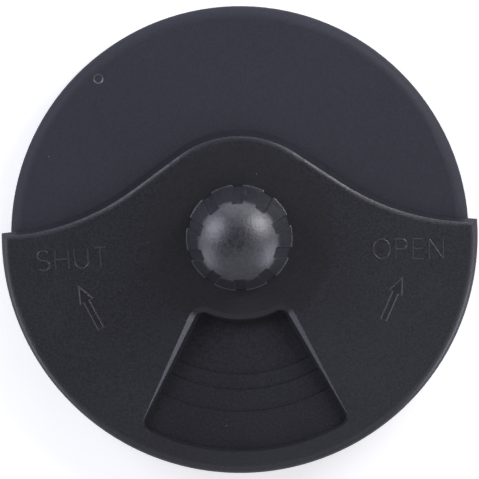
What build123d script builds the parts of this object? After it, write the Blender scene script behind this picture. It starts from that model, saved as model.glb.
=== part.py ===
from build123d import *

import os
from math import cos, degrees, radians, sin, tan

# Can strainer lid with a turning shutter, in millimetres.
# +Z is up. The lid rests on the skirt of its base at Z = 0, with the can's centre at the
# origin. The shutter stands closed, and its window points along -Y.

# Can that the lid is pushed over
can_seam_radius = 78.6
can_clearance = 0.5

# Base plate
base_height = 12.0
plate_thickness = 2.4
base_wall = 2.2
base_rim_round = 4.2
base_foot_round = 0.6
base_corner_round = 1.0

# Raised seat of the base under the shutter, with its terraces from the inside outwards and
# its strainer holes
seat_step = 0.6
terrace_widths = [5.4, 7.8, 12.4]
seat_side_margin = 0.8
seat_outer_margin = 2.3
seat_wall = 2.0
strainer_bar = 3.4
hole_radius = 1.6
hole_pitch = 5.6
hole_row_pitch = 5.2
hole_land = 0.9

# Ejector pin mark on the base
pin_mark_radius = 1.8
pin_mark_depth = 0.2
pin_mark_place = 74.9
pin_mark_angle = 130.0

# Cover
cover_gap = 0.4
cover_skirt_gap = 0.8
cover_wall = 2.2
cover_sheet = 1.7
hub_rise = 6.0
rim_fall = 2.0
hub_radius = 33.7
crease_round = 40.0
cover_rim_round = 3.0
cover_corner_round = 1.0
cover_foot_height = 1.5
edge_wall = 2.2
edge_draft = 20.0

# Wavy edge of the cover, at the height of its hub
wave_apex_radius = 35.6
wave_flank_angle = 35.0
wave_flank_length = 20.0
wave_valley_radius = 88.0
wave_end_slope = 5.0
wave_round = 2.8
wave_round_turn = 38.0

# Window of the cover, at its foot
window_half_angle = 28.3
window_inner_radius = 30.7
window_outer_radius = 74.9
window_corner_round = 2.0
window_wall_height = 3.8
window_bevel_draft = 50.0
window_bevel_round = 1.2

# Knob
knob_radius = 18.9
knob_height = 25.0
knob_shoulder_radius = 14.4
knob_shoulder_height = 18.0
knob_shoulder_round = 5.0
knob_foot_round = 0.5
knob_wall = 2.4
flute_count = 10
flute_width = 3.8
flute_depth = 0.75
gate_mark_radius = 2.1
gate_mark_depth = 0.25
gate_mark_taper = 30.0

# Pivot: boss and square key of the knob, journal, washer and screw
boss_radius = 6.0
key_width = 9.0
key_clearance = 0.1
journal_radius = 4.5
journal_clearance = 0.06
thrust_gap = 0.3
bearing_radius = 10.5
bearing_thickness = 2.5
pocket_radius = 9.0
washer_radius = 8.0
washer_thickness = 1.2
screw_radius = 1.75
screw_length = 16.0
screw_clearance = 0.05
screw_tip_length = 1.5
screw_tip_room = 1.0
screw_head_radius = 3.6
screw_head_height = 2.2
screw_head_round = 1.0
cross_width = 0.9
cross_length = 4.2
cross_depth = 1.2

# Stops that end the turn, round the pivot
stop_inner_radius = 15.0
stop_outer_radius = 22.0
stop_lug_angle = 8.0
stop_rib_angle = 6.0
stop_rib_height = 2.4
stop_play_angle = 1.0

# How far a face may lean and still count as facing one way
facing_share = 0.5
facing_angle = 1.0

# Radii, heights and angles that follow
mouth_radius = can_seam_radius + can_clearance
base_radius = mouth_radius + base_wall
plate_underside = base_height - plate_thickness
cover_inner_radius = base_radius + cover_skirt_gap
cover_radius = cover_inner_radius + cover_wall
cover_foot = base_height + cover_gap
window_wall_top = cover_foot + window_wall_height
hub_top = base_height + hub_rise
hub_underside = hub_top - cover_sheet
rim_top = hub_top - rim_fall
bearing_top = hub_underside - thrust_gap
pocket_ceiling = bearing_top - bearing_thickness
journal_end = pocket_ceiling - thrust_gap
washer_underside = journal_end - washer_thickness
crown = hub_top + knob_height
outside = 2 * cover_radius

window_angle = -90.0
open_angle = 2 * window_half_angle + strainer_bar
strainer_angle = window_angle + open_angle
seat_half_angle = window_half_angle + seat_side_margin
seat_start = window_angle - seat_half_angle
seat_span = open_angle + 2 * seat_half_angle
seat_outer_radius = window_outer_radius + seat_outer_margin
terrace_count = len(terrace_widths)
terrace_radii = [window_outer_radius - sum(terrace_widths[step:]) for step in range(terrace_count)]
seat_levels = [base_height + seat_step * (step + 1) for step in range(terrace_count)]
stop_angle = 90.0
stop_spread = stop_lug_angle / 2 + stop_play_angle + stop_rib_angle / 2


# Shapes that are used more than once

def section_at(angle):
    """Upright plane through the pivot's axis, turned to an angle."""
    return Plane.XZ.rotated((0, 0, angle))


def ring_sector(inner, outer, low, high, start, span):
    """Piece of a flat ring between two angles."""
    with BuildPart() as piece:
        with BuildSketch(section_at(start)):
            with Locations(((inner + outer) / 2, (low + high) / 2)):
                Rectangle(outer - inner, high - low)
        revolve(axis=Axis.Z, revolution_arc=span)
    return piece.part


def terraces(inset, drop, side_inset, foot, start, span):
    """Raised terraces over a foot height, set in from the seat's own outline."""
    outer = seat_outer_radius - side_inset
    points = []
    low = foot
    for radius, level in zip(terrace_radii, seat_levels):
        points += [(radius + inset, low), (radius + inset, level - drop)]
        low = level - drop
    points += [(outer, low), (outer, foot)]
    with BuildPart() as steps:
        with BuildSketch(section_at(start)):
            with BuildLine():
                Polyline(*points, close=True)
            make_face()
        revolve(axis=Axis.Z, revolution_arc=span)
    return steps.part


def half_moon(grow):
    """Outline below the wavy edge, grown outwards."""
    with BuildSketch() as moon:
        with BuildLine():
            apex = CenterArc((0, 0), wave_apex_radius + grow, 90, -wave_flank_angle)
            flank = PolarLine(apex @ 1, wave_flank_length, -wave_flank_angle)
            valley = JernArc(
                flank @ 1, flank % 1, wave_valley_radius - grow, wave_flank_angle - wave_end_slope
            )
            end = PolarLine(valley @ 1, outside, -wave_end_slope)
            side = Line(end @ 1, ((end @ 1).X, -outside))
            Line(side @ 1, (0, -outside))
            mirror(about=Plane.YZ)
        make_face()
    return moon.sketch


def window_outline(grow):
    """Sector of the window, grown outwards."""
    reach = outside * tan(radians(window_half_angle))
    with BuildSketch() as window:
        Circle(window_outer_radius)
        Circle(window_inner_radius, mode=Mode.SUBTRACT)
        with BuildLine():
            Polyline((0, 0), (-reach, -outside), (reach, -outside), close=True)
        make_face(mode=Mode.INTERSECT)
        fillet(window.vertices(), window_corner_round)
        if grow:
            offset(amount=grow)
    return window.sketch


def drafted_moon(grow):
    """Block under the wavy edge, whose wall leans in towards the top."""
    with BuildPart() as block:
        with BuildSketch(Plane.XY.offset(cover_foot)):
            add(half_moon(grow))
        extrude(amount=hub_top - cover_foot)
        wavy = [face for face in block.faces() if face.normal_at().Y > facing_share]
        draft(wavy, Plane.XY.offset(hub_top), edge_draft)
    return block.part


def drafted_window(grow, foot, top, draft_angle):
    """Block of the window between two heights, which widens upwards."""
    with BuildPart() as block:
        with BuildSketch(Plane.XY.offset(foot)):
            add(window_outline(grow))
        extrude(amount=top - foot)
        sides = [face for face in block.faces() if abs(face.normal_at().Z) < facing_share]
        draft(sides, Plane.XY.offset(foot), -draft_angle)
    return block.part


def cover_section(top, foot, outer, corner):
    """Everything under the cover's top line, lowered to a height and ended at a radius."""
    with BuildPart() as body:
        with BuildSketch(Plane.XZ) as half:
            fall = rim_fall * (outer - hub_radius) / (cover_radius - hub_radius)
            with BuildLine():
                Polyline(
                    (0, foot), (0, top), (hub_radius, top), (outer, top - fall), (outer, foot),
                    close=True,
                )
            make_face()
            fillet(half.vertices().sort_by_distance((hub_radius, top))[0], crease_round)
            if corner:
                fillet(half.vertices().sort_by_distance((outer, top - fall))[0], corner)
        revolve(axis=Axis.Z)
    return body.part


def key_outline(clearance):
    """Square key with its corners turned to the boss."""
    with BuildSketch() as key:
        Circle(boss_radius + clearance)
        Rectangle(key_width + 2 * clearance, key_width + 2 * clearance, mode=Mode.INTERSECT)
    return key.sketch


# Base plate: flat round top, skirt round the can's seam, bearing for the pivot
with BuildPart() as base_plate:
    with BuildSketch(Plane.XZ) as base_half:
        with BuildLine():
            Polyline(
                (0, plate_underside), (0, base_height), (base_radius, base_height),
                (base_radius, 0), (mouth_radius, 0), (mouth_radius, plate_underside),
                close=True,
            )
        make_face()
        for corner, radius in (
            ((base_radius, base_height), base_rim_round),
            ((base_radius, 0), base_foot_round),
            ((mouth_radius, plate_underside), base_corner_round),
        ):
            fillet(base_half.vertices().sort_by_distance(corner)[0], radius)
    revolve(axis=Axis.Z)

    # Seat that rises outwards in terraces under the window and over the strainer,
    # and the hollow below it that keeps the plate's thickness
    add(terraces(0, 0, 0, plate_underside + plate_thickness / 2, seat_start, seat_span))
    hollow_inset = degrees(seat_wall / terrace_radii[0])
    add(
        terraces(
            0, plate_thickness, seat_wall, plate_underside,
            seat_start + hollow_inset, seat_span - 2 * hollow_inset,
        ),
        mode=Mode.SUBTRACT,
    )

    # Bearing boss, with the pocket for washer and screw under it
    with BuildSketch(Plane.XY.offset(plate_underside)):
        Circle(bearing_radius)
    extrude(amount=bearing_top - plate_underside)
    with BuildSketch(Plane.XY.offset(plate_underside)):
        Circle(pocket_radius)
    extrude(amount=pocket_ceiling - plate_underside, mode=Mode.SUBTRACT)
    with BuildSketch(Plane.XY.offset(pocket_ceiling)):
        Circle(journal_radius + journal_clearance)
    extrude(amount=bearing_top - pocket_ceiling, mode=Mode.SUBTRACT)

    # Strainer holes, in rows centred on each terrace
    with BuildSketch(Plane.XY.offset(plate_underside)):
        bands = [window_inner_radius] + terrace_radii + [window_outer_radius]
        land = hole_radius + hole_land
        for inner, outer in zip(bands, bands[1:]):
            rows = int((outer - inner - 2 * land) / hole_row_pitch + 1)
            for row in range(rows):
                row_radius = (inner + outer) / 2 + (row - (rows - 1) / 2) * hole_row_pitch
                pitch_angle = degrees(hole_pitch / row_radius)
                free_angle = 2 * (window_half_angle - degrees(land / row_radius))
                count = int(free_angle / pitch_angle) + 1
                row_angle = (count - 1) * pitch_angle
                with PolarLocations(
                    row_radius, count, strainer_angle - row_angle / 2, row_angle, endpoint=True
                ):
                    Circle(hole_radius)
    extrude(amount=seat_levels[-1] - plate_underside, mode=Mode.SUBTRACT)

    # Stop ribs at both ends of the turn
    for middle in (stop_angle - stop_spread, stop_angle + open_angle + stop_spread):
        add(
            ring_sector(
                stop_inner_radius, stop_outer_radius, plate_underside + plate_thickness / 2,
                base_height + stop_rib_height, middle - stop_rib_angle / 2, stop_rib_angle,
            )
        )

    # Shallow mark of an ejector pin near the rim
    with BuildSketch(Plane.XY.offset(base_height)):
        with PolarLocations(pin_mark_place, 1, pin_mark_angle):
            Circle(pin_mark_radius)
    extrude(amount=-pin_mark_depth, mode=Mode.SUBTRACT)

base_plate.part.label = "base_plate"


# Cover: half-moon shell with a turned-down wavy edge, a framed window and a skirt
with BuildPart() as cavity:
    add(
        cover_section(
            hub_underside, cover_foot - cover_gap / 2, cover_inner_radius, cover_corner_round
        )
    )
    add(drafted_moon(-edge_wall), mode=Mode.INTERSECT)
    add(drafted_window(edge_wall, cover_foot, hub_top, edge_draft), mode=Mode.SUBTRACT)

with BuildPart() as cover_skirt:
    with BuildSketch(Plane.XY.offset(cover_foot_height)):
        Circle(cover_radius)
        Circle(cover_inner_radius, mode=Mode.SUBTRACT)
        add(half_moon(rim_fall * tan(radians(edge_draft))), mode=Mode.INTERSECT)
    extrude(amount=rim_top - cover_rim_round - cover_foot_height)

with BuildPart() as window_cut:
    add(drafted_window(0, cover_foot, window_wall_top, edge_draft))
    bevel_foot = window_wall_height * tan(radians(edge_draft))
    add(drafted_window(bevel_foot, window_wall_top, hub_top + cover_gap, window_bevel_draft))
    creases = [
        edge for edge in window_cut.edges()
        if abs(edge.bounding_box().min.Z - window_wall_top) < cover_gap / 2
        and abs(edge.bounding_box().max.Z - window_wall_top) < cover_gap / 2
    ]
    fillet(creases, window_bevel_round)

with BuildPart() as rotating_cover:
    # Top of the wavy wall, rounded on a wider block and cut back where it has turned down
    lip = wave_round * (
        tan(radians((90 - edge_draft) / 2)) - sin(radians(wave_round_turn))
        + (1 - cos(radians(wave_round_turn))) * tan(radians(edge_draft))
    )
    add(cover_section(hub_top, cover_foot, cover_radius, 0))
    add(drafted_moon(lip), mode=Mode.INTERSECT)
    drafted = [
        face for face in rotating_cover.faces()
        if abs(90 - face.normal_at().get_angle(Vector(0, 0, 1)) - edge_draft) < facing_angle
    ]
    tops = [
        edge for face in drafted for edge in face.edges()
        if edge.bounding_box().min.Z > cover_foot + cover_gap
    ]
    fillet(tops, wave_round)
    add(drafted_moon(0), mode=Mode.INTERSECT)
    add(window_cut.part, mode=Mode.SUBTRACT)

    # Rounded rim
    add(
        cover_section(hub_top, cover_foot, cover_radius, cover_rim_round),
        mode=Mode.INTERSECT,
    )

    add(cover_skirt.part)
    add(cavity.part, mode=Mode.SUBTRACT)

    # Room for the seat's terraces through the whole turn
    add(
        terraces(
            -cover_gap, -cover_gap, -cover_gap, cover_foot - cover_gap / 2,
            seat_start - open_angle, seat_span + open_angle,
        ),
        mode=Mode.SUBTRACT,
    )

    # Keyed hole for the knob, and the lug that runs between the stops
    with BuildSketch(Plane.XY.offset(cover_foot)):
        add(key_outline(key_clearance))
    extrude(amount=hub_rise, mode=Mode.SUBTRACT)
    add(
        ring_sector(
            stop_inner_radius, stop_outer_radius, cover_foot, hub_underside + cover_sheet / 2,
            stop_angle - stop_lug_angle / 2, stop_lug_angle,
        )
    )

rotating_cover.part.label = "rotating_cover"


# Knob: fluted cup with a domed crown, moulded hollow round a boss with key and journal
def knob_body(inset):
    """Solid of the knob's outline, set in from it."""
    side_foot = (knob_radius - inset, hub_top)
    shoulder = (knob_shoulder_radius - inset, hub_top + knob_shoulder_height - inset / 2)
    with BuildPart() as body:
        with BuildSketch(Plane.XZ) as half:
            with BuildLine():
                Line((0, hub_top), side_foot)
                Line(side_foot, shoulder)
                TangentArc((0, crown - inset), shoulder, tangent=(1, 0))
                Line((0, crown - inset), (0, hub_top))
            make_face()
            fillet(half.vertices().sort_by_distance(shoulder)[0], knob_shoulder_round)
            if not inset:
                fillet(half.vertices().sort_by_distance(side_foot)[0], knob_foot_round)
        revolve(axis=Axis.Z)
    return body.part


with BuildPart() as flutes:
    lean = (knob_radius - knob_shoulder_radius) / knob_shoulder_height
    flute_floor = knob_radius - flute_depth
    with BuildSketch(Plane.XZ):
        with BuildLine():
            Polyline(
                (flute_floor, hub_top), (flute_floor - lean * knob_height, crown),
                (2 * knob_radius, crown), (2 * knob_radius, hub_top),
                close=True,
            )
        make_face()
    revolve(axis=Axis.Z)
    with BuildSketch(Plane.XY.offset(hub_top)):
        with PolarLocations(knob_radius, flute_count, 90):
            Rectangle(2 * knob_radius, flute_width)
    extrude(amount=knob_height, mode=Mode.INTERSECT)

with BuildPart() as knob_hollow:
    add(knob_body(knob_wall))
    with BuildSketch(Plane.XY.offset(hub_top)):
        Circle(boss_radius)
    extrude(amount=knob_height, mode=Mode.SUBTRACT)

with BuildPart() as knob:
    add(knob_body(0))
    add(flutes.part, mode=Mode.SUBTRACT)
    add(knob_hollow.part, mode=Mode.SUBTRACT)

    # Key through the cover, round journal through the base, hole for the screw
    with BuildSketch(Plane.XY.offset(hub_underside)):
        add(key_outline(0))
    extrude(amount=hub_top - hub_underside)
    with BuildSketch(Plane.XY.offset(journal_end)):
        Circle(journal_radius)
    extrude(amount=hub_underside - journal_end)
    with BuildSketch(Plane.XY.offset(washer_underside)):
        Circle(screw_radius + screw_clearance)
    extrude(amount=screw_length + screw_tip_room, mode=Mode.SUBTRACT)

    # Dished gate mark in the crown
    with BuildSketch(Plane.XY.offset(crown)):
        Circle(gate_mark_radius)
    extrude(amount=-gate_mark_depth, taper=gate_mark_taper, mode=Mode.SUBTRACT)

knob.part.label = "knob"


# Washer that holds the journal in the bearing
with BuildPart() as pivot_washer:
    with BuildSketch(Plane.XY.offset(washer_underside)):
        Circle(washer_radius)
        Circle(screw_radius + screw_clearance, mode=Mode.SUBTRACT)
    extrude(amount=washer_thickness)

pivot_washer.part.label = "pivot_washer"


# Screw from below into the knob's boss
with BuildPart() as pivot_screw:
    with BuildSketch(Plane.XZ) as screw_half:
        head_foot = washer_underside - screw_head_height
        tip = washer_underside + screw_length
        with BuildLine():
            Polyline(
                (0, head_foot), (screw_head_radius, head_foot),
                (screw_head_radius, washer_underside), (screw_radius, washer_underside),
                (screw_radius, tip - screw_tip_length), (0, tip),
                close=True,
            )
        make_face()
        fillet(
            screw_half.vertices().sort_by_distance((screw_head_radius, head_foot))[0],
            screw_head_round,
        )
    revolve(axis=Axis.Z)
    with BuildSketch(Plane.XY.offset(head_foot)):
        Rectangle(cross_length, cross_width)
        Rectangle(cross_width, cross_length)
    extrude(amount=cross_depth, mode=Mode.SUBTRACT)

pivot_screw.part.label = "pivot_screw"


os.makedirs("parts", exist_ok=True)
for piece in (base_plate, rotating_cover, knob, pivot_washer, pivot_screw):
    export_step(piece.part, f"parts/{piece.part.label}.step")
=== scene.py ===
from math import cos, dist, hypot, pi, radians, sin

import bmesh
import bpy
from mathutils import Matrix, Vector


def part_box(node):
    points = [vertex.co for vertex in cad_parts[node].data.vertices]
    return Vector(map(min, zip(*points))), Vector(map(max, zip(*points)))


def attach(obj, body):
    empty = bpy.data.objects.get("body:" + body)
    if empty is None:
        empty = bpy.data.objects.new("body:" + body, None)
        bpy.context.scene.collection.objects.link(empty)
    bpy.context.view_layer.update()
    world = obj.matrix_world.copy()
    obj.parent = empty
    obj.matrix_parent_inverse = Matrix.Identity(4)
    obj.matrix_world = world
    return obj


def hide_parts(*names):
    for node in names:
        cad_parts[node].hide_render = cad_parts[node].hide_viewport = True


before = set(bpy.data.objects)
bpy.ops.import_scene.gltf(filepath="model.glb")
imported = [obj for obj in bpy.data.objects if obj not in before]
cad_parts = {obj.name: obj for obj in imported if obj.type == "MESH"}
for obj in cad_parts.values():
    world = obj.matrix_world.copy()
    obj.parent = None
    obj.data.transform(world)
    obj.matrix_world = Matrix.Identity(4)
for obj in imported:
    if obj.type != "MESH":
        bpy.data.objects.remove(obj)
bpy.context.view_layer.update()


# Base plate: the fixed round lid that is pushed over the can, injection-moulded in charcoal
# plastic with a fine spark-eroded grain. It carries the strainer seat and the pivot's bearing.
# The frame's own solid stays, and gets the moulded finish, with painted shade over its seat.
def put(tree, kind, sockets=(), **settings):
    """New node with its settings, and its sockets by name or place: values or other outputs."""
    node = tree.nodes.new(kind)
    for name, value in settings.items():
        setattr(node, name, value)
    for place, value in dict(sockets).items():
        if isinstance(value, bpy.types.NodeSocket):
            tree.links.new(value, node.inputs[place])
        else:
            node.inputs[place].default_value = value
    return node


def sums(tree, *steps):
    """Chain of Math nodes: an operation and its numbers, where None stands for the last result."""
    result = None
    for operation, *values in steps:
        values = [result if value is None else value for value in values]
        result = put(tree, "ShaderNodeMath", enumerate(values), operation=operation).outputs[0]
    return result


def blend(tree, share, first, second):
    """Colour between two colours, by a share from 0 to 1."""
    return put(tree, "ShaderNodeMix", {0: share, 6: first, 7: second}, data_type="RGBA").outputs[2]


def noise(tree, place, scale, detail, roughness=0.5):
    """Noise that stays with the piece, finer with a larger scale."""
    sockets = {"Vector": place, "Scale": scale, "Detail": detail, "Roughness": roughness}
    return put(tree, "ShaderNodeTexNoise", sockets).outputs["Fac"]


def empty_material(name):
    """New material, with its node tree cleared."""
    material = bpy.data.materials.new(name)
    material.use_nodes = True
    material.node_tree.nodes.clear()
    return material


def moulded_plastic(
    name, dark, light, roughness, shine=0.7, fleck=1300.0, contrast=1.0, grain_depth=0.00002,
    specks=0.3, spacing=0.0067, dust=0.16, finish_and_shade_patch=None,
):
    """Charcoal moulded plastic: cloudy tone, fine flecks, spark-eroded grain and sparse dust.

    Its tone lies between dark and light. fleck is the flecks' scale, spacing the width of a
    cell that can hold a speck of dust, and specks the share of the cells that hold one."""
    material = empty_material(name)
    tree = material.node_tree
    coordinates = put(tree, "ShaderNodeTexCoord").outputs
    place = coordinates["Object"]
    cloud_scale, cloud_share, grain_scale = 28.0, 0.35, 3200.0
    clouds = noise(tree, place, cloud_scale, 3.0)
    flecks = noise(tree, place, fleck, 2.0, 0.7)
    grain = noise(tree, place, grain_scale, 2.0)
    tone = sums(tree, ("MULTIPLY", clouds, cloud_share), ("ADD", None, flecks))
    middle_tone, tone_reach = (1 + cloud_share) / 2, 0.175 / contrast
    share = put(tree, "ShaderNodeMapRange", {
        "Value": tone, "From Min": middle_tone - tone_reach, "From Max": middle_tone + tone_reach,
    }).outputs[0]
    paint = blend(tree, share, (*dark, 1), (*light, 1))
    if finish_and_shade_patch:
        # a part of the upper side coloured with tones of its own, a sector or a disc round the pivot:
        # painted shade, and on the hub also its evener finish
        spot = put(tree, "ShaderNodeSeparateXYZ", {0: place}).outputs
        inside = sums(
            tree, ("ARCTAN2", spot[1], spot[0]), ("SUBTRACT", None, finish_and_shade_patch["middle"]),
            ("ABSOLUTE", None), ("LESS_THAN", None, finish_and_shade_patch["half_angle"]),
        )
        flat = put(tree, "ShaderNodeCombineXYZ", {0: spot[0], 1: spot[1]}).outputs[0]
        far = put(tree, "ShaderNodeVectorMath", {0: flat}, operation="LENGTH").outputs["Value"]
        within = put(tree, "ShaderNodeMapRange", {
            "Value": far,
            "From Min": finish_and_shade_patch["radius"] + finish_and_shade_patch["blur"], "From Max": finish_and_shade_patch["radius"] - finish_and_shade_patch["blur"],
        }).outputs[0]
        facing = put(tree, "ShaderNodeSeparateXYZ", {0: coordinates["Normal"]}).outputs[2]
        upper = sums(tree, ("GREATER_THAN", facing, 0.0))
        finish_and_shade_zone = sums(tree, ("MULTIPLY", inside, within), ("MULTIPLY", None, upper))
        finish_and_shade_paint = blend(tree, share, (*finish_and_shade_patch["dark"], 1), (*finish_and_shade_patch["light"], 1))
        paint = blend(tree, finish_and_shade_zone, paint, finish_and_shade_paint)

    speck_radius = 0.0002
    cells = put(tree, "ShaderNodeTexVoronoi", {"Vector": place, "Scale": 1 / spacing}).outputs
    near = sums(tree, ("LESS_THAN", cells["Distance"], speck_radius / spacing))
    pick = put(tree, "ShaderNodeSeparateColor", {0: cells["Color"]}).outputs[0]
    speck = sums(tree, ("LESS_THAN", pick, specks), ("MULTIPLY", None, near))

    gloss_reach = 0.06
    gloss = put(tree, "ShaderNodeMapRange", {
        "Value": flecks, "To Min": roughness - gloss_reach, "To Max": roughness + gloss_reach,
    }).outputs[0]
    relief = sums(tree, ("ADD", grain, flecks))
    bump = put(tree, "ShaderNodeBump", {"Height": relief, "Strength": 1.0, "Distance": grain_depth})
    shader = put(tree, "ShaderNodeBsdfPrincipled", {
        "Base Color": blend(tree, speck, paint, (dust, dust, dust * 1.1, 1)),
        "Roughness": gloss, "Normal": bump.outputs[0], "Specular IOR Level": shine, "IOR": 1.6,
    })
    put(tree, "ShaderNodeOutputMaterial", {"Surface": shader.outputs[0]})
    return material


def finish_node(name, material):
    """The frame's own solid takes a material in each of its slots."""
    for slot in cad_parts[name].material_slots:
        slot.material = material


# painted shade: the sector of the closed seat and of the strainer beside it is coloured darker than the
# rest, standing in for the shade that the cover's walls cast on the window's floor
seat_painted_shade = {
    "middle": radians(-60), "half_angle": radians(59), "radius": 0.0766, "blur": 0.0002,
    "dark": (0.016, 0.016, 0.020), "light": (0.031, 0.031, 0.038),
}
finish_node("base_plate", moulded_plastic(
    "base_charcoal", (0.035, 0.035, 0.045), (0.044, 0.044, 0.056), 0.62, shine=0.18, specks=0.2,
    finish_and_shade_patch=seat_painted_shade,
))


# Ejector pin's mark: the small round dent near the rim that the mould's pin left in the base. Its edge
# is drawn in to a slope all round, glossier than the base and coloured lighter as a painted highlight.
def piece_of(shape, name):
    """Object at the origin, made of a bmesh whose faces are turned outwards."""
    bmesh.ops.recalc_face_normals(shape, faces=shape.faces)
    mesh = bpy.data.meshes.new(name)
    shape.to_mesh(mesh)
    shape.free()
    piece = bpy.data.objects.new(name, mesh)
    bpy.context.scene.collection.objects.link(piece)
    return piece


mark_reach, mark_turn, sides = 0.0749, radians(130), 48
mark_x, mark_y = mark_reach * cos(mark_turn), mark_reach * sin(mark_turn)
mark_radius, slope_width = 0.0018, 0.0005
base_top, mark_depth = 0.012, 0.0002
mark_floor = base_top - mark_depth
outside_top, outside_foot = (mark_radius, base_top), (mark_radius, mark_floor)
inside_foot = (mark_radius - slope_width, mark_floor)
ring = bmesh.new()
rows = []
for step in range(sides):
    turn = 2 * pi * step / sides
    rows.append([
        ring.verts.new((mark_x + radius * cos(turn), mark_y + radius * sin(turn), height))
        for radius, height in (outside_top, outside_foot, inside_foot)
    ])
for row, following in zip(rows, rows[1:] + rows[:1]):
    for edge in range(3):
        far = (edge + 1) % 3
        ring.faces.new((row[edge], row[far], following[far], following[edge]))
pin_mark_slope = piece_of(ring, "pin_mark_slope")
# painted highlight: the slope is coloured lighter than the base round it
pin_mark_slope.data.materials.append(moulded_plastic(
    "pin_mark_painted_highlight", (0.050, 0.050, 0.062), (0.062, 0.062, 0.076), 0.38, shine=0.8, specks=0.0
))
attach(pin_mark_slope, "base")


# Cover: the half-moon shutter with its window, moulded in the same charcoal plastic and keyed to the
# knob. Its flat hub, a whole disc, is coloured more evenly than the slope round it for its finer
# finish, and a little darker as painted shade for the plateau's other tilt to the light.
hub_finish_and_shade = {
    "middle": 0.0, "half_angle": 1.1 * pi, "radius": 0.0330, "blur": 0.0012,
    "dark": (0.0150, 0.0153, 0.0185), "light": (0.0205, 0.0208, 0.0250),
}
finish_node("rotating_cover", moulded_plastic(
    "cover_charcoal", (0.012, 0.012, 0.016), (0.025, 0.025, 0.033), 0.40, shine=0.58, contrast=1.3,
    finish_and_shade_patch=hub_finish_and_shade,
))


# Knob: fluted cup with a domed crown, moulded hollow in charcoal plastic with ten grip flutes
# and a small flat gate spot. Its square key goes through the cover, and its round journal turns in
# the base's bearing.
def group_input(tree, name, kind, value):
    """Named input of a node group: its identifier, with the value that the modifier gives it."""
    return tree.interface.new_socket(name, in_out="INPUT", socket_type=kind).identifier, value


# points nearer to each other than this, in metres, are one
weld = 2e-6


def plain_mesh(start, tree, sizes, name, sharp=radians(40)):
    """The node group's result on a mesh or curve, as a plain mesh object without the group."""
    holder = bpy.data.objects.new("holder", start)
    bpy.context.scene.collection.objects.link(holder)
    shape = holder.modifiers.new("shape", "NODES")
    shape.node_group = tree
    for identifier, size in sizes:
        shape[identifier] = size
    graph = bpy.context.evaluated_depsgraph_get()
    made = bpy.data.meshes.new_from_object(holder.evaluated_get(graph))
    bpy.data.objects.remove(holder)
    shell = bmesh.new()
    shell.from_mesh(made)
    bmesh.ops.remove_doubles(shell, verts=shell.verts, dist=weld)
    bmesh.ops.recalc_face_normals(shell, faces=shell.faces)
    for face in shell.faces:
        face.smooth = True
    shell.to_mesh(made)
    shell.free()
    made.set_sharp_from_angle(angle=sharp)
    piece = bpy.data.objects.new(name, made)
    bpy.context.scene.collection.objects.link(piece)
    return piece


def arc_points(centre, radius, start, end, count):
    """Points on an arc of a section, by the tilt of its normal in degrees."""
    tilts = [radians(start + (end - start) * step / count) for step in range(count + 1)]
    return [(centre[0] + radius * sin(t), centre[1] + radius * cos(t)) for t in tilts]


def run_points(start, end, count):
    """Points on a straight run of a section, without its start."""
    steps = [step / count for step in range(1, count + 1)]
    return [tuple(a + (b - a) * f for a, b in zip(start, end)) for f in steps]


# Half section from the crown down the outside, up the hollow, and down the boss, in mm. The
# crown's arc flattens to a gate spot on the axis, where the box ends.
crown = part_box("knob")[1].z * 1000 + 0.1098
dome_radius, shoulder_radius, wall = 18.31, 5.0, 2.4
dome, shoulder = (0, crown - dome_radius), (9.83, crown - 9.34)
side_top, side_foot = (14.68, crown - 8.13), (18.5, 18.6)
foot, foot_corner, foot_round = 18.0, (18.55, 18.3), 0.3
hollow_foot, hollow_top = (16.5, foot), (12.2, crown - 8.7)
boss_radius, boss_top, boss_middle, key_end = 6.0, 39.2, 30.0, 16.3
journal_radius, journal_end, journal_chamfer = 4.5, 13.2, 0.3
screw_radius, screw_end = 1.8, 29.0
gate = [(0, 0.11), (0.8, 0.11), (1.4, 0.112), (1.8, 0.118), (2.1, 0.132)]
section = [(place, crown - depth) for place, depth in gate]
section += arc_points(dome, dome_radius, 7.5, 47.6, 40)
section += arc_points(shoulder, shoulder_radius, 49.5, 76, 12)
section += run_points(side_top, side_foot, 24)
section += arc_points(foot_corner, foot_round, 30, 100, 5)
section += [(18.84, foot), hollow_foot] + run_points(hollow_foot, hollow_top, 4)
section += arc_points(shoulder, shoulder_radius - wall, 76, 47.6, 5)
section += arc_points(dome, dome_radius - wall, 44, 23, 5)
section += [(boss_radius, level) for level in (boss_top, boss_middle, foot, foot - 0.001, key_end)]
section += [(journal_radius, key_end), (journal_radius, journal_end + journal_chamfer)]
section += [(journal_radius - journal_chamfer, journal_end), (screw_radius, journal_end)]
section += [(screw_radius, screw_end), (0, screw_end)]
points = bpy.data.meshes.new("knob_section")
points.from_pydata([(r * 0.001, 0, z * 0.001) for r, z in section], [], [])

tree = bpy.data.node_groups.new("fluted_turning", "GeometryNodeTree")
tree.interface.new_socket("Section", in_out="INPUT", socket_type="NodeSocketGeometry")
tree.interface.new_socket("Piece", in_out="OUTPUT", socket_type="NodeSocketGeometry")
knob_sizes = [
    group_input(tree, "Steps to a flute", "NodeSocketInt", 44),
    group_input(tree, "Flutes", "NodeSocketInt", 10),
    group_input(tree, "Flute width", "NodeSocketFloat", 0.0038),
    group_input(tree, "Flute edge", "NodeSocketFloat", 0.00045),
    group_input(tree, "Flute floor at foot", "NodeSocketFloat", 0.01815),
    group_input(tree, "Lean", "NodeSocketFloat", 0.25),
    group_input(tree, "Foot height", "NodeSocketFloat", foot / 1000),
    group_input(tree, "Key half width", "NodeSocketFloat", 0.0045),
]
given = tree.nodes.new("NodeGroupInput").outputs
rows = put(tree, "GeometryNodeAttributeDomainSize", {0: given["Section"]}).outputs["Point Count"]
columns = sums(tree, ("MULTIPLY", given["Steps to a flute"], given["Flutes"]), ("ADD", None, 1))
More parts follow.
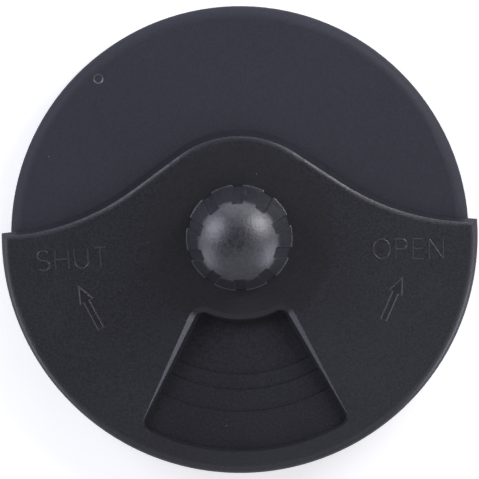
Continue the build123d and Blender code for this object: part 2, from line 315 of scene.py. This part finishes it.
grid = put(tree, "GeometryNodeMeshGrid", {2: columns, 3: rows}).outputs[0]
# each point of the grid takes its place from the section's point of the same row; a little is
# added before the rounding down, so that no column falls back into the one before
index = put(tree, "GeometryNodeInputIndex").outputs[0]
row = sums(tree, ("MODULO", index, rows))
column = sums(tree, ("DIVIDE", index, rows), ("ADD", None, 0.0001), ("FLOOR", None))
place = put(tree, "GeometryNodeInputPosition").outputs[0]
picked = put(
    tree, "GeometryNodeSampleIndex", {0: given["Section"], "Value": place, "Index": row},
    data_type="FLOAT_VECTOR",
)
spot = put(tree, "ShaderNodeSeparateXYZ", {0: picked.outputs[0]}).outputs
radius, height = spot[0], spot[2]
# which flute a column belongs to, and how far out it is between the flute's middle and the
# middle of the land beside it
steps = sums(tree, ("ADD", given["Steps to a flute"], 0))
middle = sums(tree, ("DIVIDE", column, steps), ("ADD", None, 0.5), ("FLOOR", None))
beside = sums(tree, ("MULTIPLY", middle, steps), ("SUBTRACT", column, None))
out = sums(tree, ("ABSOLUTE", beside), ("MULTIPLY", None, 2.0), ("DIVIDE", None, steps))
# half the angles of the flute and of the land, and its edge's angle, capped near the axis
period = sums(tree, ("DIVIDE", 2 * pi, given["Flutes"]))
widest = sums(tree, ("MULTIPLY", period, 0.3))
near_side = sums(
    tree, ("SUBTRACT", given["Flute width"], given["Flute edge"]), ("MULTIPLY", None, 0.5),
    ("DIVIDE", None, radius), ("MINIMUM", None, 0.5), ("ARCSINE", None), ("MINIMUM", None, widest),
)
edge_side = sums(tree, ("DIVIDE", given["Flute edge"], radius), ("MINIMUM", None, 0.1))
far_side = sums(
    tree, ("MULTIPLY", period, 0.5), ("SUBTRACT", None, near_side), ("SUBTRACT", None, edge_side)
)


def stretch(start, end, reach, interpolation="LINEAR"):
    """Part of a column's angle that it gains between two places of its half period."""
    sockets = {0: out, 1: start, 2: end, 3: 0.0, 4: reach}
    return put(tree, "ShaderNodeMapRange", sockets, interpolation_type=interpolation).outputs[0]


# of the 22 columns in half a period, 7 lie in the flute, 5 on its edge and 10 on the land
within, beyond = 7 / 22, 12 / 22
angle = sums(
    tree, ("ADD", stretch(0.0, within, near_side), stretch(within, beyond, edge_side)),
    ("ADD", None, stretch(beyond, 1.0, far_side)), ("MULTIPLY", None, sums(tree, ("SIGN", beside))),
)
turn = sums(tree, ("MULTIPLY", middle, period), ("ADD", None, angle), ("ADD", None, pi / 2))
share = sums(tree, ("SUBTRACT", 1.0, stretch(within, beyond, 1.0, "SMOOTHSTEP")))
rise = sums(tree, ("SUBTRACT", height, given["Foot height"]), ("MULTIPLY", None, given["Lean"]))
floor_radius = sums(tree, ("SUBTRACT", given["Flute floor at foot"], rise))
outside = sums(
    tree, ("SUBTRACT", radius, floor_radius), ("MAXIMUM", None, 0.0), ("MULTIPLY", None, share)
)
fluted = sums(tree, ("SUBTRACT", radius, outside))
# the square key between the boss and the journal
across = sums(tree, ("COSINE", turn), ("ABSOLUTE", None))
along = sums(tree, ("SINE", turn), ("ABSOLUTE", None))
square = sums(
    tree, ("MAXIMUM", across, along), ("DIVIDE", given["Key half width"], None),
    ("MINIMUM", None, radius),
)
below = sums(tree, ("LESS_THAN", height, (foot - 0.0005) / 1000))
above = sums(tree, ("GREATER_THAN", height, (key_end - 0.1) / 1000), ("MULTIPLY", None, below))
wide = sums(tree, ("GREATER_THAN", radius, (journal_radius + 0.1) / 1000), ("MULTIPLY", None, above))
keyed = sums(tree, ("SUBTRACT", square, fluted), ("MULTIPLY", None, wide), ("ADD", None, fluted))
final = put(tree, "ShaderNodeCombineXYZ", {
    0: sums(tree, ("COSINE", turn), ("MULTIPLY", None, keyed)),
    1: sums(tree, ("SINE", turn), ("MULTIPLY", None, keyed)),
    2: height,
})
turned = put(tree, "GeometryNodeSetPosition", {0: grid, 2: final.outputs[0]}).outputs[0]
joined = put(tree, "GeometryNodeMergeByDistance", {0: turned, "Distance": weld}).outputs[0]
real = put(tree, "GeometryNodeRealizeInstances", {0: joined}).outputs[0]
knob_plastic = moulded_plastic(
    "knob_charcoal", (0.007, 0.007, 0.011), (0.029, 0.029, 0.040), 0.41, shine=1.0, fleck=900.0,
    contrast=2.0, grain_depth=0.00007, specks=0.5, spacing=0.0013, dust=0.07,
)
coat = put(tree, "GeometryNodeSetMaterial", {0: real, "Material": knob_plastic})
put(tree, "NodeGroupOutput", {0: coat.outputs[0]})
turning_knob = plain_mesh(points, tree, knob_sizes, "turning_knob")
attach(turning_knob, "cover")
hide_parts("knob")


# Words: SHUT and OPEN in thin raised strokes, moulded with the cover at either side of the hub.
# Each stroke is a low bead that follows its letter's line on the sloping top.
def bend(centre, reach, start, end, count=14):
    """Part of an ellipse in a letter's own square."""
    turns = [radians(start + (end - start) * step / count) for step in range(count + 1)]
    return [(centre[0] + reach[0] * cos(t), centre[1] + reach[1] * sin(t)) for t in turns]


# each letter's width and its lines, in parts of its height
upper_s = bend((0.33, 0.745), (0.29, 0.255), 35, 270)
lower_s = bend((0.33, 0.245), (0.31, 0.245), 90, -145)
bowl = bend((0.3, 0.74), (0.27, 0.26), 90, -90)
letters = {
    "S": (0.66, [upper_s + lower_s[1:]]),
    "H": (0.72, [[(0, 0), (0, 1)], [(0.68, 0), (0.68, 1)], [(0, 0.52), (0.68, 0.52)]]),
    "U": (0.72, [[(0, 1)] + bend((0.34, 0.34), (0.34, 0.34), 180, 360) + [(0.68, 1)]]),
    "T": (0.62, [[(0, 1), (0.62, 1)], [(0.31, 1), (0.31, 0)]]),
    "O": (0.86, [bend((0.43, 0.5), (0.43, 0.5), 0, 360)]),
    "P": (0.6, [[(0, 0), (0, 1), (0.3, 1)] + bowl[1:] + [(0, 0.48)]]),
    "E": (0.56, [[(0.54, 1), (0, 1), (0, 0), (0.56, 0)], [(0, 0.52), (0.46, 0.52)]]),
    "N": (0.72, [[(0, 0), (0, 1), (0.7, 0), (0.7, 1)]]),
}


def stroke_curve(name, word, centre, slope, cap_height=0.007, gap=0.0019):
    """Letter lines of a word as poly splines in the plane."""
    curve = bpy.data.curves.new(name, "CURVE")
    curve.dimensions = "3D"
    width = sum(letters[letter][0] * cap_height for letter in word) + gap * (len(word) - 1)
    start = -width / 2
    for letter in word:
        for line in letters[letter][1]:
            spline = curve.splines.new("POLY")
            spline.points.add(len(line) - 1)
            for point, (x, y) in zip(spline.points, line):
                u, v = start + x * cap_height, (y - 0.5) * cap_height
                across = centre[0] + u * cos(slope) - v * sin(slope)
                along = centre[1] + u * sin(slope) + v * cos(slope)
                point.co = (across, along, 0, 1)
        start += letters[letter][0] * cap_height + gap
    return curve


hub_top, hub_radius, fall = 0.018, 0.0337, 0.002 / 0.0506
bead = bpy.data.node_groups.new("raised_stroke", "GeometryNodeTree")
bead.interface.new_socket("Lines", in_out="INPUT", socket_type="NodeSocketGeometry")
bead.interface.new_socket("Piece", in_out="OUTPUT", socket_type="NodeSocketGeometry")
bead_sizes = [
    group_input(bead, "Stroke width", "NodeSocketFloat", 0.0006),
    group_input(bead, "Stroke height", "NodeSocketFloat", 0.0002),
    group_input(bead, "Hub radius", "NodeSocketFloat", hub_radius),
    group_input(bead, "Hub height", "NodeSocketFloat", hub_top),
    group_input(bead, "Fall", "NodeSocketFloat", fall),
]
given = bead.nodes.new("NodeGroupInput").outputs
half_width = sums(bead, ("MULTIPLY", given["Stroke width"], 0.5))
dense = put(
    bead, "GeometryNodeResampleCurve", {0: given["Lines"], "Length": 0.0004}, mode="LENGTH"
)
ring = put(bead, "GeometryNodeCurvePrimitiveCircle", {0: 12, 4: half_width})
swept = put(
    bead, "GeometryNodeCurveToMesh", {0: dense.outputs[0], 1: ring.outputs[0], "Fill Caps": True}
)
place = put(bead, "GeometryNodeInputPosition").outputs[0]
spot = put(bead, "ShaderNodeSeparateXYZ", {0: place}).outputs
squeeze = sums(bead, ("DIVIDE", given["Stroke height"], half_width), ("MULTIPLY", None, spot[2]))
far = sums(
    bead, ("MULTIPLY", spot[0], spot[0]), ("MULTIPLY_ADD", spot[1], spot[1], None), ("SQRT", None)
)
drop = sums(
    bead, ("SUBTRACT", far, given["Hub radius"]), ("MAXIMUM", None, 0.0),
    ("MULTIPLY", None, given["Fall"]),
)
level = sums(bead, ("SUBTRACT", given["Hub height"], drop), ("ADD", None, squeeze))
laid = put(bead, "ShaderNodeCombineXYZ", {0: spot[0], 1: spot[1], 2: level})
moved = put(bead, "GeometryNodeSetPosition", {0: swept.outputs[0], 2: laid.outputs[0]})
real = put(bead, "GeometryNodeRealizeInstances", {0: moved.outputs[0]})
letter_plastic = moulded_plastic(
    "letter_charcoal", (0.022, 0.022, 0.028), (0.026, 0.026, 0.033), 0.32, specks=0.0
)
coat = put(bead, "GeometryNodeSetMaterial", {0: real.outputs[0], "Material": letter_plastic})
put(bead, "NodeGroupOutput", {0: coat.outputs[0]})

for name, word, centre, slope in (
    ("word_shut", "SHUT", (-0.0595, -0.0059), radians(2)),
    ("word_open", "OPEN", (0.0595, -0.0059), radians(-2)),
):
    raised = plain_mesh(stroke_curve(name, word, centre, slope), bead, bead_sizes, name)
    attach(raised, "cover")


# Arrows: two raised plates with sloping edges, moulded with the cover, that show which way the
# knob turns to shut and to open. They have a finer finish than the slope round them.
shaft_half, head_half, head_length = 0.0013, 0.0028, 0.0068
sunk, upright, slope_width, slope_height = 0.0002, 0.00023, 0.0005, 0.00026
arrow_plastic = moulded_plastic(
    "arrow_charcoal", (0.012, 0.012, 0.016), (0.020, 0.020, 0.026), 0.35, shine=0.60, specks=0.0
)
for name, tip, tail in (
    ("arrow_shut", (-0.0576, -0.0151), (-0.0499, -0.0310)),
    ("arrow_open", (0.0574, -0.0153), (0.0499, -0.0310)),
):
    length = dist(tip, tail)
    ahead = ((tip[0] - tail[0]) / length, (tip[1] - tail[1]) / length)
    neck = length - head_length
    outline = [
        (0, -shaft_half), (neck, -shaft_half), (neck, -head_half), (length, 0),
        (neck, head_half), (neck, shaft_half), (0, shaft_half),
    ]
    plate = bmesh.new()
    corners = []
    for u, v in outline:
        x = tail[0] + ahead[0] * u - ahead[1] * v
        y = tail[1] + ahead[1] * u + ahead[0] * v
        cover_top = hub_top - fall * max(0.0, hypot(x, y) - hub_radius)
        corners.append(plate.verts.new((x, y, cover_top - sunk)))
    raised = bmesh.ops.extrude_face_region(plate, geom=[plate.faces.new(corners)])
    lifted = [part for part in raised["geom"] if isinstance(part, bmesh.types.BMVert)]
    bmesh.ops.translate(plate, verts=lifted, vec=(0, 0, upright))
    lid = [part for part in raised["geom"] if isinstance(part, bmesh.types.BMFace)]
    bmesh.ops.inset_region(
        plate, faces=lid, thickness=slope_width, depth=slope_height, use_even_offset=True
    )
    arrow = piece_of(plate, name)
    arrow.data.materials.append(arrow_plastic)
    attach(arrow, "cover")


# Washer and screw under the pivot: bright stainless steel, turned and pressed. The washer holds
# the knob's journal in the bearing, and the screw goes up into the boss.
def turned_steel(name, tone, roughness):
    """Bright steel with the fine rings of a lathe round its axis."""
    material = empty_material(name)
    tree = material.node_tree
    place = put(tree, "ShaderNodeTexCoord").outputs["Object"]
    ring_scale, tarnish_scale, gloss_reach = 900.0, 400.0, 0.08
    rings = put(
        tree, "ShaderNodeTexWave", {"Vector": place, "Scale": ring_scale, "Distortion": 1.5},
        wave_type="RINGS", rings_direction="Z",
    )
    tarnish = noise(tree, place, tarnish_scale, 4.0)
    gloss = put(tree, "ShaderNodeMapRange", {
        "Value": tarnish, "To Min": roughness - gloss_reach, "To Max": roughness + gloss_reach,
    })
    bump = put(tree, "ShaderNodeBump", {
        "Height": rings.outputs["Fac"], "Strength": 0.4, "Distance": 0.00001,
    })
    shader = put(tree, "ShaderNodeBsdfPrincipled", {
        "Base Color": blend(tree, tarnish, (*tone, 1), (*[part * 0.8 for part in tone], 1)),
        "Roughness": gloss.outputs[0], "Metallic": 1.0, "Normal": bump.outputs[0],
    })
    put(tree, "ShaderNodeOutputMaterial", {"Surface": shader.outputs[0]})
    return material


finish_node("pivot_washer", turned_steel("washer_steel", (0.62, 0.61, 0.59), 0.34))
screw_steel = turned_steel("screw_steel", (0.55, 0.55, 0.54), 0.28)
finish_node("pivot_screw", screw_steel)


# Screw thread: the rolled thread of the steel screw, which cuts its way into the knob's boss. It
# grows from almost nothing at its start and runs out at its end.
thread = bpy.data.node_groups.new("rolled_thread", "GeometryNodeTree")
thread.interface.new_socket("Start", in_out="INPUT", socket_type="NodeSocketGeometry")
thread.interface.new_socket("Piece", in_out="OUTPUT", socket_type="NodeSocketGeometry")
thread_sizes = [
    group_input(thread, "Turns", "NodeSocketFloat", 10.0),
    group_input(thread, "Pitch", "NodeSocketFloat", 0.00125),
    group_input(thread, "Shank radius", "NodeSocketFloat", 0.00175),
    group_input(thread, "First turn height", "NodeSocketFloat", 0.0137),
]
given = thread.nodes.new("NodeGroupInput").outputs
helix = put(thread, "GeometryNodeCurveSpiral", {
    0: 24, 1: given["Turns"], 2: given["Shank radius"], 3: given["Shank radius"],
    4: sums(thread, ("MULTIPLY", given["Turns"], given["Pitch"])),
})
upright_helix = put(thread, "GeometryNodeSetCurveNormal", {0: helix.outputs[0]}, mode="Z_UP")
# the ridge's section: its root inside the shank, and its narrow crest outside
root, crest, root_half, crest_half = 0.00015, -0.00028, 0.0003, 0.00006
flank = put(thread, "GeometryNodeCurvePrimitiveQuadrilateral", {
    7: (root, -root_half, 0), 8: (crest, -crest_half, 0),
    9: (crest, crest_half, 0), 10: (root, root_half, 0),
}, mode="POINTS")
# the parts of the length where it has grown and where it starts to run out, and its least size
grown, fading, least = 0.05, 0.9, 0.05
along = put(thread, "GeometryNodeSplineParameter").outputs["Factor"]
rising = put(thread, "ShaderNodeMapRange", {0: along, 1: 0.0, 2: grown}).outputs[0]
falling = put(thread, "ShaderNodeMapRange", {0: along, 1: 1.0, 2: fading}).outputs[0]
swept = put(thread, "GeometryNodeCurveToMesh", {
    0: upright_helix.outputs[0], 1: flank.outputs[0],
    2: sums(thread, ("MULTIPLY", rising, falling), ("MAXIMUM", None, least)), "Fill Caps": True,
})
lift = put(thread, "ShaderNodeCombineXYZ", {2: given["First turn height"]})
raised = put(thread, "GeometryNodeSetPosition", {0: swept.outputs[0], 3: lift.outputs[0]})
real = put(thread, "GeometryNodeRealizeInstances", {0: raised.outputs[0]})
coat = put(thread, "GeometryNodeSetMaterial", {0: real.outputs[0], "Material": screw_steel})
put(thread, "NodeGroupOutput", {0: coat.outputs[0]})
screw_thread = plain_mesh(bpy.data.meshes.new("thread_start"), thread, thread_sizes, "screw_thread")
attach(screw_thread, "cover")


# Studio: a pale floor that shows white, with the object's shadow left in it, and a world that is
# white to the camera and a weak fill to the object.
reach, floor_tone, floor_glow, world_fill = 3.0, 0.8, 0.55, 0.08
mesh = bpy.data.meshes.new("floor")
mesh.from_pydata(
    [(-reach, -reach, 0), (reach, -reach, 0), (reach, reach, 0), (-reach, reach, 0)], [], [(0, 1, 2, 3)]
)
floor = bpy.data.objects.new("floor", mesh)
bpy.context.scene.collection.objects.link(floor)
pale = empty_material("pale_floor")
tree = pale.node_tree
seen = put(tree, "ShaderNodeLightPath").outputs["Is Camera Ray"]
card = put(tree, "ShaderNodeBsdfDiffuse", {"Color": (floor_tone, floor_tone, floor_tone, 1)})
glow = put(tree, "ShaderNodeEmission", {"Strength": sums(tree, ("MULTIPLY", seen, floor_glow))})
both = put(tree, "ShaderNodeAddShader", {0: card.outputs[0], 1: glow.outputs[0]})
put(tree, "ShaderNodeOutputMaterial", {"Surface": both.outputs[0]})
mesh.materials.append(pale)

world = bpy.data.worlds.new("studio")
bpy.context.scene.world = world
world.use_nodes = True
tree = world.node_tree
tree.nodes.clear()
seen = put(tree, "ShaderNodeLightPath").outputs["Is Camera Ray"]
fill = put(tree, "ShaderNodeMapRange", {"Value": seen, "To Min": world_fill, "To Max": 1.0})
sky = put(tree, "ShaderNodeBackground", {"Strength": fill.outputs[0]})
put(tree, "ShaderNodeOutputWorld", {"Surface": sky.outputs[0]})


# Soft boxes: the two bright ones behind the lid make the knob's highlights, the weaker ones and
# the low strips all round light its rims and bevels, and the wide panel fills from the front.
def soft_box(name, azimuth, elevation, width, height, radiance, tint, distance=0.6):
    """Area light that looks at the lid from a direction in degrees, at a radiance of its own."""
    lamp = bpy.data.lights.new(name, "AREA")
    lamp.shape = "RECTANGLE"
    lamp.size = width
    lamp.size_y = height
    lamp.energy = radiance * pi * width * height
    lamp.color = tint
    box = bpy.data.objects.new(name, lamp)
    bpy.context.scene.collection.objects.link(box)
    a, e = radians(azimuth), radians(elevation)
    direction = Vector((cos(a) * cos(e), sin(a) * cos(e), sin(e)))
    facing = direction.to_track_quat("Z", "Y").to_matrix().to_4x4()
    box.matrix_world = Matrix.Translation(direction * distance) @ facing


neutral, cool = (0.99, 0.98, 1.04), (0.96, 0.97, 1.12)
soft_box("box_right_back", 37, 29, 0.30, 0.26, 8.6, neutral)
soft_box("box_left_back", 150, 30, 0.30, 0.26, 5.8, cool)
soft_box("box_back", 90, 30, 0.44, 0.24, 1.0, cool)
soft_box("box_right", 2, 24, 0.26, 0.22, 1.0, neutral)
soft_box("box_left", 184, 26, 0.28, 0.24, 1.2, cool)
soft_box("strip_left_front", 209, 11, 0.34, 0.14, 3.5, cool)
soft_box("strip_right_front", 331, 11, 0.34, 0.14, 5.0, cool)
soft_box("strip_front", 270, 11, 0.50, 0.12, 0.6, cool)
soft_box("strip_back", 90, 9, 0.60, 0.10, 3.0, cool)
soft_box("panel_front", 288, 46, 1.50, 0.56, 0.48, cool)


# Camera: nearly straight above, a little from the far side, with a long lens.
tilt, lean, roll, distance = radians(4.4), radians(1.05), radians(-1.83), 1.5
pixel, picture = 0.35296e-3, 479
target, target_pixel = Vector((0, 0, hub_top)), (239.25, 237.7)
aside, above = ((picture / 2 - place) * pixel for place in target_pixel)
back = Vector((sin(lean), sin(tilt) * cos(lean), cos(tilt) * cos(lean)))
right = Vector((0, 1, 0)).cross(back).normalized()
up = back.cross(right)
x_axis = right * cos(roll) + up * sin(roll)
y_axis = up * cos(roll) - right * sin(roll)
centre = target + x_axis * aside - y_axis * above
lens = bpy.data.cameras.new("camera")
lens.sensor_width = 36.0
lens.lens = lens.sensor_width * distance / (picture * pixel)
lens.clip_end = 20.0
camera = bpy.data.objects.new("camera", lens)
bpy.context.scene.collection.objects.link(camera)
pose = Matrix((x_axis, y_axis, back)).transposed().to_4x4()
pose.translation = centre + back * distance
camera.matrix_world = pose
bpy.context.scene.camera = camera

bpy.context.scene.view_settings.view_transform = "Standard"
